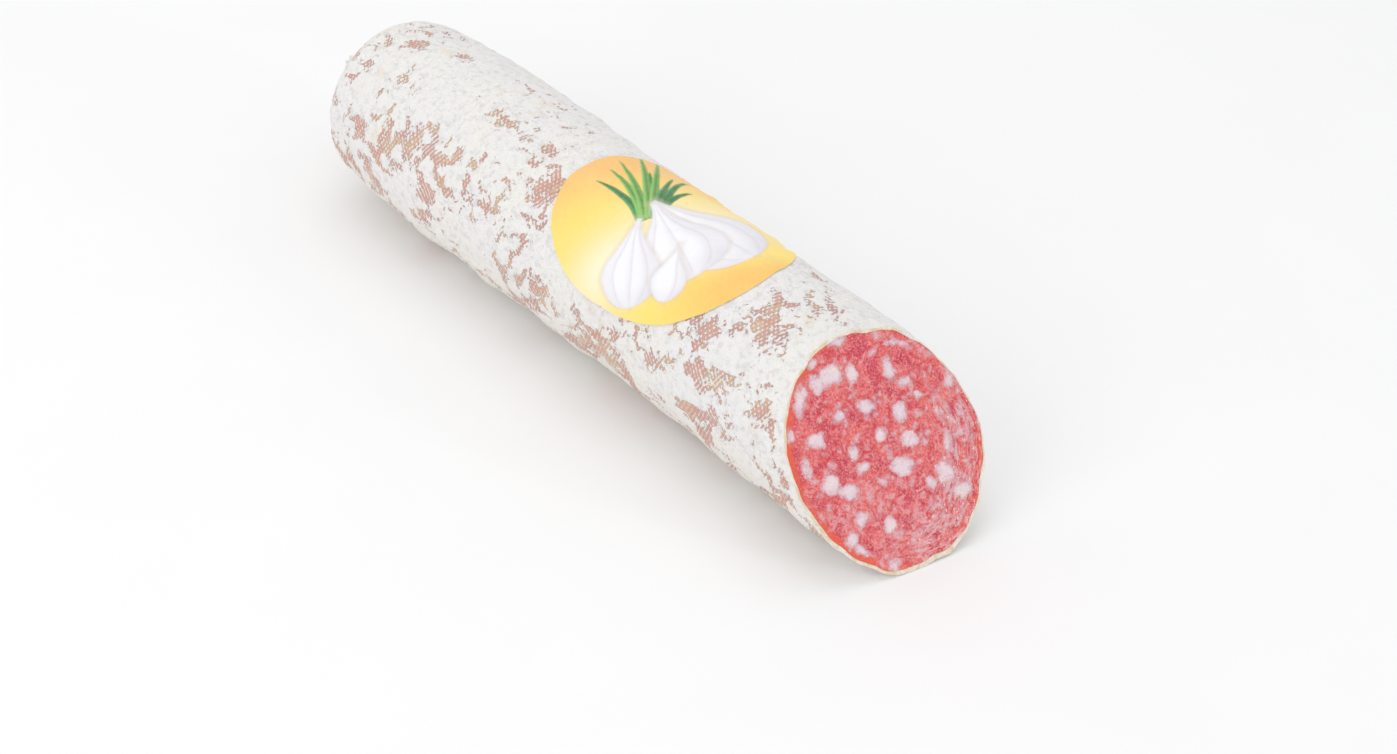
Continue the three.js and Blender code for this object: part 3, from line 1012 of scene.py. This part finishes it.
# Each bulb: across and up of its root, height, half width and lean in degrees.
BULBS = (
    (18.0, -19.5, 34.0, 12.5, -39.0),
    (2.0, -22.5, 29.0, 12.5, -10.0),
    (-17.5, -20.5, 25.0, 9.3, 24.0),
)
BULB_SEAMS = (-0.55, 0.05, 0.6)
BULB_NECK = 0.09  # width of the drawn-out top to the bulb's own
CLOVE = (-7.5, -25.0, 17.0, 5.2, 30.0)
CLOVE_SEAMS = (0.45,)
CLOVE_NECK = 0.02
BELLY = 0.34  # how far up a bulb or clove is widest
SEAM_WIDTH = 0.35
LEAF_ROOT = (-4.0, 2.5)
LEAF_WIDTH = 1.4
LEAF_STEPS = 36
LEAF_TIPS = (
    (-16, 20), (-12, 24), (8, 12), (-9, 27), (-2, 21), (-3, 31), (10, 22), (2, 30), (4, 19),
)
# Pale glows in the warm ground: across, up, reach across, reach up and strength.
GLOWS = ((-19, -8, 15, 9, 1.0), (6, -3, 17, 12, 0.8))


def screen(red, green, blue):
    return np.array(paint(red, green, blue)[:3])


GROUND_YELLOW = screen(249, 220, 112)
GROUND_PALE = screen(249, 243, 222)
GROUND_ABOVE = screen(244, 192, 116)
GROUND_BELOW = screen(247, 192, 100)
LEAF_LIGHT = screen(112, 164, 78)
LEAF_DARK = screen(70, 132, 76)
GARLIC_WHITE = screen(241, 240, 243)
GARLIC_SHADE = screen(216, 212, 222)
GARLIC_FOLD = screen(212, 210, 218)
GARLIC_SEAM = screen(190, 187, 196)
GARLIC_RIM = screen(198, 195, 204)
GARLIC_SHADOW = screen(206, 190, 160)
PAPER_BACK = screen(246, 240, 226)


def blend_in(colours, share, colour):
    """Lays a colour over others, by a share from 0 to 1 for each place."""
    share = np.clip(share, 0.0, 1.0)[:, None]
    return colours * (1.0 - share) + np.asarray(colour) * share


def print_bulb(colours, across, up, bulb, seams, neck):
    """One garlic bulb or clove: widest low down, drawn out above, with seams between cloves."""
    root_across, root_up, height, half_width, lean = bulb
    lean = math.radians(lean)
    a = (across - root_across) * math.cos(lean) - (up - root_up) * math.sin(lean)
    b = (up - root_up) * math.cos(lean) + (across - root_across) * math.sin(lean)
    t = np.clip(b / height, 0.0, 1.0)
    below = np.sqrt(np.clip(1.0 - ((t - BELLY) / BELLY) ** 2, 0.0, 1.0))
    above = np.clip((t - BELLY) / (1.0 - BELLY), 0.0, 1.0) ** 0.8
    above = neck + (1.0 - neck) * (0.5 + 0.5 * np.cos(math.pi * above))
    width = half_width * np.where(t < BELLY, below, above)
    inside = np.minimum(width - np.abs(a), np.minimum(b, height - b))
    part = a / np.maximum(width, 0.3)
    tone = np.tile(GARLIC_WHITE, (len(a), 1))
    shade = 0.5 * rise(part, 0.1, 1.0) + 0.3 * rise(-part, 0.5, 1.0) + 0.35 * rise(-t, -0.3, 0.0)
    tone = blend_in(tone, shade, GARLIC_SHADE)
    for seam in seams:
        line = np.exp(-(((part - seam) * width / SEAM_WIDTH) ** 2)) * rise(t, 0.0, 0.12)
        beside = rise(part, seam - 0.28, seam) * (part < seam)
        tone = blend_in(tone, 0.30 * beside, GARLIC_FOLD)
        tone = blend_in(tone, 0.22 * line, GARLIC_SEAM)
    tone = blend_in(tone, 0.4 * rise(inside, 0.7, 0.0), GARLIC_RIM)
    shadow = rise(inside, -1.8, 0.0) * (inside < 0)
    colours = blend_in(colours, 0.35 * shadow, GARLIC_SHADOW)
    return blend_in(colours, rise(inside, -0.1, 0.2), tone)


def print_leaf(colours, across, up, tip, tone):
    """One green shoot, tapering along a slight curve from the bulb's neck to its tip."""
    root = np.array(LEAF_ROOT) + np.array([0.2 * tip[0], 0.0])
    bend = np.array([0.35 * tip[0] + 0.4 * root[0], 0.6 * tip[1] + 0.4 * root[1]])
    reach = np.full(len(across), 99.0)
    side = np.zeros(len(across))
    for t in np.linspace(0.0, 1.0, LEAF_STEPS):
        spot = (1 - t) ** 2 * root + 2 * t * (1 - t) * bend + t * t * np.array(tip)
        half = LEAF_WIDTH * (1.0 - t) ** 0.6 + 0.1
        from_spot = np.hypot(across - spot[0], up - spot[1]) - half
        side = np.where(from_spot < reach, (across - spot[0]) / half, side)
        reach = np.minimum(reach, from_spot)
    lit = blend_in(np.tile(tone, (len(across), 1)), rise(-side, 0.0, 0.9), 1.5 * tone + 0.02)
    lit = blend_in(lit, 0.7 * np.exp(-((side / 0.22) ** 2)), 0.5 * tone)
    return blend_in(colours, rise(-reach, -0.1, 0.25), lit)


def printed_label(right, up):
    """The label's colours: a warm oval, pale in the middle, with garlic and green shoots."""
    across = right * math.cos(PRINT_TURN) - up * math.sin(PRINT_TURN) - PRINT_MIDDLE[0]
    above = right * math.sin(PRINT_TURN) + up * math.cos(PRINT_TURN) - PRINT_MIDDLE[1]
    pale = np.zeros(len(right))
    for glow_across, glow_up, wide, tall, strength in GLOWS:
        reach = ((across - glow_across) / wide) ** 2 + ((above - glow_up) / tall) ** 2
        pale += strength * np.exp(-reach)
    colours = np.tile(GROUND_YELLOW, (len(right), 1))
    colours = blend_in(colours, 0.8 * pale, GROUND_PALE)
    colours = blend_in(colours, rise(above, 6.0, 27.0), GROUND_ABOVE)
    low = rise(-above, 17.0, 29.0) * rise(across, -16.0, 12.0)
    colours = blend_in(colours, 0.9 * low, GROUND_BELOW)
    for index, tip in enumerate(LEAF_TIPS):
        green = LEAF_LIGHT if index % 2 else LEAF_DARK
        colours = print_leaf(colours, across, above, tip, green)
    for bulb in BULBS:
        colours = print_bulb(colours, across, above, bulb, BULB_SEAMS, BULB_NECK)
    return print_bulb(colours, across, above, CLOVE, CLOVE_SEAMS, CLOVE_NECK)


def label_points(right, up, height):
    """Wraps flat label millimetres round the casing, at a height above it.

    The label's up is towards the closed end and its right is over the top.
    """
    along = -up * math.cos(LABEL_TURN) - right * math.sin(LABEL_TURN)
    x = BODY_LENGTH - LABEL_BEHIND_CUT + along
    skin = -up * math.sin(LABEL_TURN) + right * math.cos(LABEL_TURN)
    theta = LABEL_ANGLE + skin / RADIUS
    distance = RADIUS + swell(x, theta) + unevenness(x, theta) + height
    return on_skin(x, distance, theta)


def make_label():
    turn = np.arange(LABEL_AROUND) * 2 * math.pi / LABEL_AROUND
    shares = np.linspace(0.0, 1.0, LABEL_RINGS + 1)[1:]
    under = np.linspace(1.0, 0.0, LABEL_UNDER_RINGS + 1)[:-1]
    reach = np.repeat(np.concatenate([shares, under]), LABEL_AROUND)
    angle = np.tile(turn, len(shares) + len(under))
    top = np.arange(len(reach)) < len(shares) * LABEL_AROUND
    sides = np.abs(np.cos(angle)) ** LABEL_FULLNESS + np.abs(np.sin(angle)) ** LABEL_FULLNESS
    grown = reach * sides ** (-1.0 / LABEL_FULLNESS)
    right = grown * np.cos(angle) * LABEL_WIDTH / 2
    up = grown * np.sin(angle) * LABEL_LENGTH / 2
    waves = (0.5 + 0.5 * np.cos(2 * angle + LIFT_PHASE)) ** 2
    lift = LABEL_LIFT * rise(reach, 0.86, 1.0) * waves
    points = label_points(right, up, LABEL_CLEARANCE + lift + LABEL_THICKNESS * top)
    rings = list(points.reshape(-1, LABEL_AROUND, 3))
    middle_heights = np.array([LABEL_CLEARANCE + LABEL_THICKNESS, LABEL_CLEARANCE])
    middle = label_points(np.zeros(2), np.zeros(2), middle_heights)
    label = loft("paper_label", rings, middle[0], middle[1], label_material())
    colours = blend_in(printed_label(right, up), np.where(top, 0.0, 1.0), PAPER_BACK)
    centre = printed_label(np.zeros(1), np.zeros(1))
    every = np.vstack([centre, colours, PAPER_BACK[None]])
    kept = label.data.attributes.new("print", "FLOAT_COLOR", "POINT")
    kept.data.foreach_set("color", np.hstack([every, np.ones((len(every), 1))]).ravel())
    return label


# ---- Clip ------------------------------------------------------------

CLIP_STEPS = 56
CLIP_AROUND = 18
CLIP_GAP = 0.3  # between the wire and the gathered casing
CLIP_PLACE = -0.7 * NECK_LENGTH
CLIP_SLIMMING = 0.94
PINCHED_STEPS = 3.0  # steps over which an end of the wire is pinched
PINCHED_SHARE = 0.15


def make_clip():
    """Soft wire bent round the neck, with pinched, rounded ends."""
    bend = NECK_RADIUS + CLIP_GAP + CLIP_WIRE / 2
    half_opening = CLIP_OPENING / 2
    angles = np.linspace(BOTTOM + half_opening, BOTTOM + 2 * math.pi - half_opening, CLIP_STEPS)
    section = np.arange(CLIP_AROUND) * 2 * math.pi / CLIP_AROUND
    half = CLIP_WIRE / 2
    rings = []
    for step, angle in enumerate(angles):
        to_end = min(step, CLIP_STEPS - 1 - step) / PINCHED_STEPS
        share = math.sqrt(max(PINCHED_SHARE, 1.0 - max(0.0, 1.0 - to_end) ** 2))
        square = np.abs(np.cos(section)) ** 4 + np.abs(np.sin(section)) ** 4
        rim = half * share / square ** 0.25 * CLIP_SLIMMING
        out = np.array([0.0, math.cos(angle), math.sin(angle)])
        centre = bend * out + np.array([CLIP_PLACE, 0.0, 0.0])
        along = np.array([1.0, 0.0, 0.0])
        rings.append(
            centre
            + (rim * np.cos(section))[:, None] * out
            + (rim * np.sin(section))[:, None] * along
        )
    return loft("clip_wire", rings, rings[0].mean(axis=0), rings[-1].mean(axis=0), clip_material())


# ---- Floor and assembly ----------------------------------------------


FLOOR_REACH = 3.0
FLOOR_CORNERS = ((-1, -1), (1, -1), (1, 1), (-1, 1))


def make_floor():
    mesh = bpy.data.meshes.new("floor")
    corners = [(FLOOR_REACH * x, FLOOR_REACH * y, 0.0) for x, y in FLOOR_CORNERS]
    mesh.from_pydata(corners, [], [(0, 1, 2, 3)])
    mesh.materials.append(floor_material())
    floor = bpy.data.objects.new("floor", mesh)
    bpy.context.scene.collection.objects.link(floor)


make_camera()
make_lights()
make_floor()

casing = make_casing()
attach(casing, "root")
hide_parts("casing")

filling = make_filling()
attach(filling, "root")
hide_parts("filling")

label = make_label()
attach(label, "root")
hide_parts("label")

clip = make_clip()
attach(clip, "root")
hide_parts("clip")
